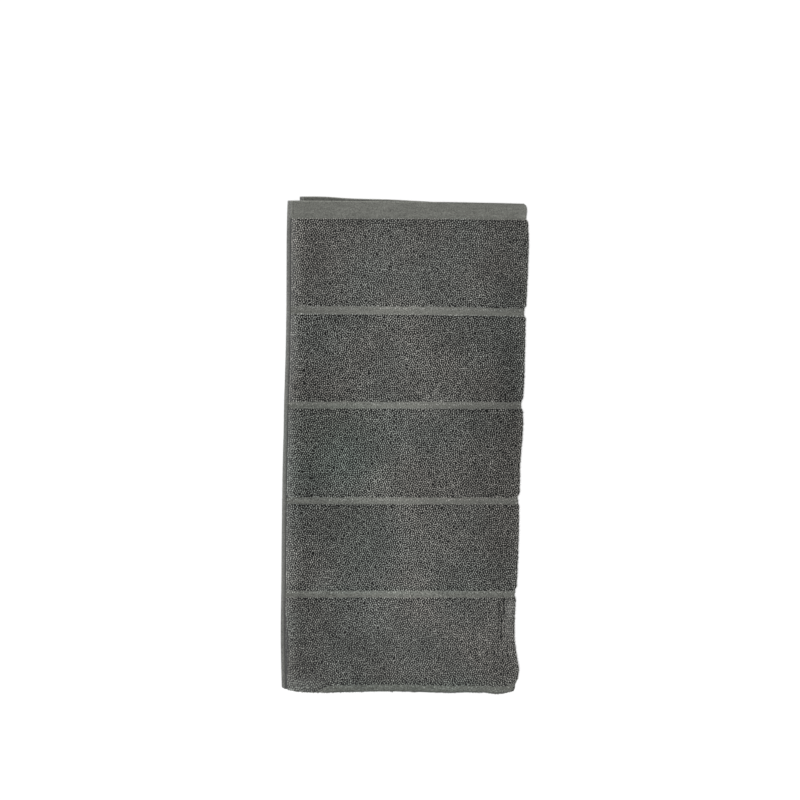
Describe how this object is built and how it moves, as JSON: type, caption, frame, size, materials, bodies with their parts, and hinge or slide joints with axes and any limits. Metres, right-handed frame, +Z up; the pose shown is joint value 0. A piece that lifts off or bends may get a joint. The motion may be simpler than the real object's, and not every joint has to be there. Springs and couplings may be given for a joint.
{
  "type": "folded sauna towel",
  "caption": "Terry sauna towel with flat-woven bands and hems, folded in half lengthwise and then across, lying flat as a stack of layers.",
  "frame": {"origin": "middle of the folded towel's footprint, on the surface it lies on", "axes": "+Y along the long side, from the fold across to the end hems; +X from the side hems to the lengthwise fold; +Z up"},
  "size_m": [0.3542, 0.7112, 0.0142],
  "materials": {
    "terry_cloth": "looped cotton pile, matt, with smooth flat-woven bands and hems"
  },
  "bodies": {
    "root": {"towel_cloth": "terry_cloth"}
  },
  "joints": []
}
